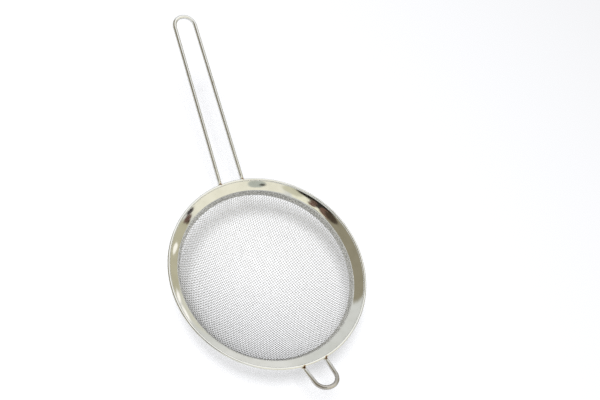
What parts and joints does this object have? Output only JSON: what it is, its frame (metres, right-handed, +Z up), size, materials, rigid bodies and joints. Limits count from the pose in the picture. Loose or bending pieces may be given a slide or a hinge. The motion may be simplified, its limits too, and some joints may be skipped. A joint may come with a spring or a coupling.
{
  "type": "mesh strainer",
  "caption": "Round wire-mesh kitchen strainer with a polished flanged rim, a long bent-wire handle and a wire rest opposite it.",
  "frame": {"origin": "centre of the bowl's mouth, level with the top of the rolled edge", "axes": "+Z up out of the mouth, +Y along the handle seen from above, -Y along the rest"},
  "size_m": [0.2, 0.3973, 0.1277],
  "materials": {
    "polished_band": "polished stainless sheet with fine rubbing marks",
    "ring_steel": "plain rolled stainless strip",
    "mesh_wire": "bright drawn stainless wire",
    "rod_steel": "polished drawn wire",
    "weld_metal": "weld metal with a brown heat tint"
  },
  "bodies": {
    "root": {"rim_band": "polished_band", "retaining_ring": "ring_steel", "warp_wires": "mesh_wire", "weft_wires": "mesh_wire", "handle": "rod_steel", "rest_hook": "rod_steel", "handle_welds": "weld_metal", "rest_welds": "weld_metal"}
  },
  "joints": []
}
